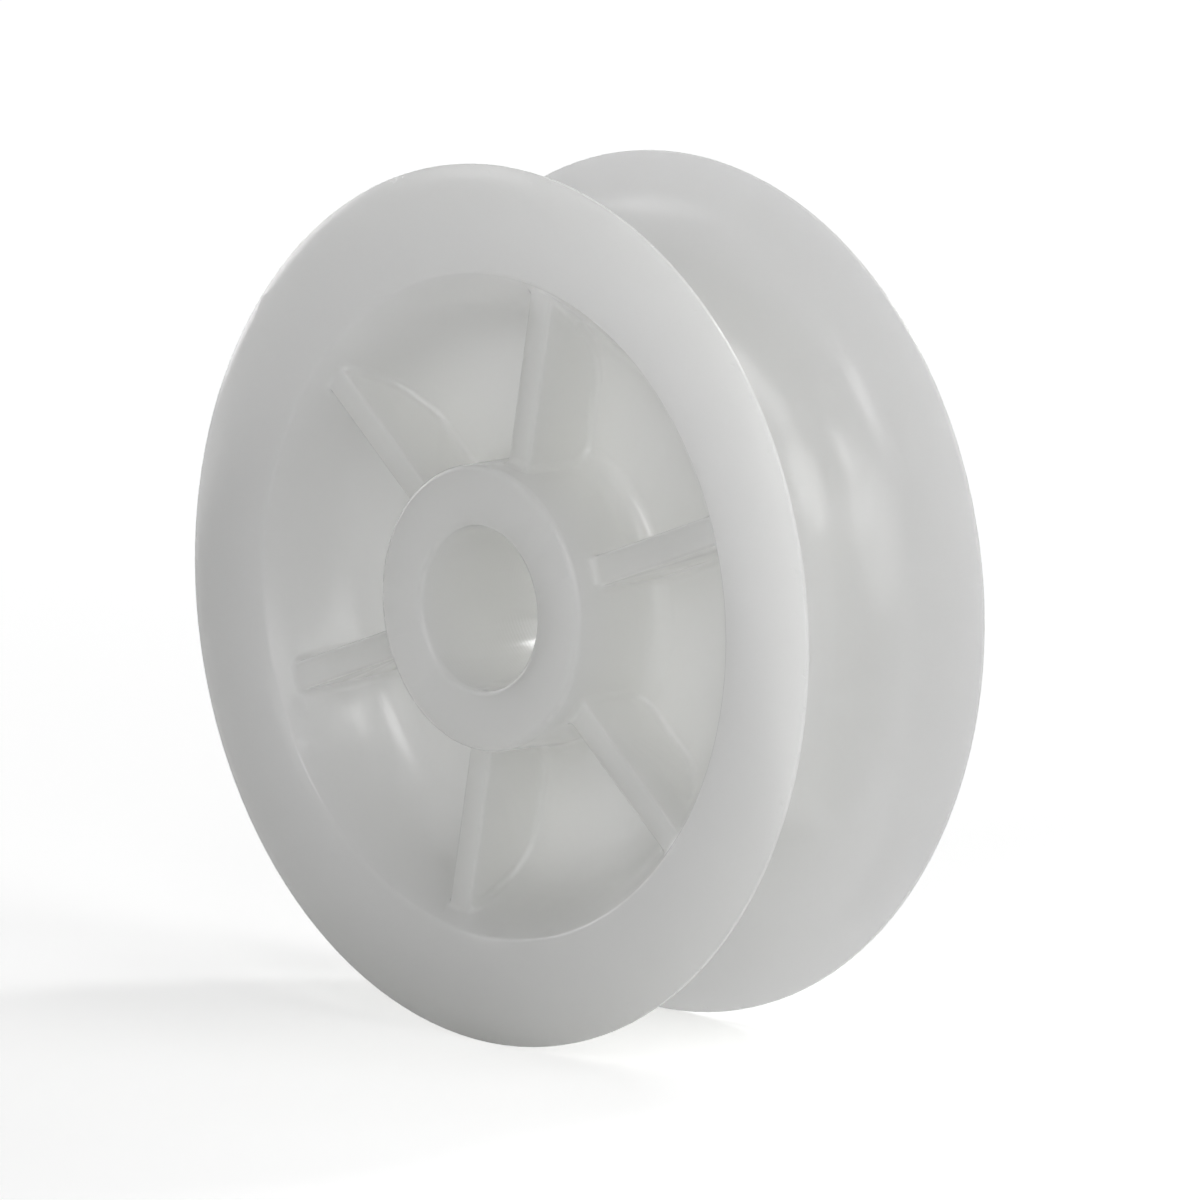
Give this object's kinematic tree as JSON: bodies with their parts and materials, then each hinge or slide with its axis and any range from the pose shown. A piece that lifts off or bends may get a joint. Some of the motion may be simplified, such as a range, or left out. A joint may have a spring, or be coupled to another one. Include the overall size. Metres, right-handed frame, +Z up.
{
  "type": "rope pulley",
  "caption": "One-piece moulded plastic rope pulley with a deep round groove, domed flanges, dished ribbed sides and a plain bored hub.",
  "frame": {"origin": "centre of the wheel, on the axle line and half way between the hub's end faces", "axes": "+Y along the axle line away from the face seen in the picture, +X to the right and +Z up as that face is seen"},
  "size_m": [0.08, 0.025, 0.08],
  "materials": {
    "natural_plastic": "natural, slightly translucent moulded plastic with a satin skin"
  },
  "bodies": {
    "root": {"pulley_wheel": "natural_plastic"}
  },
  "joints": []
}
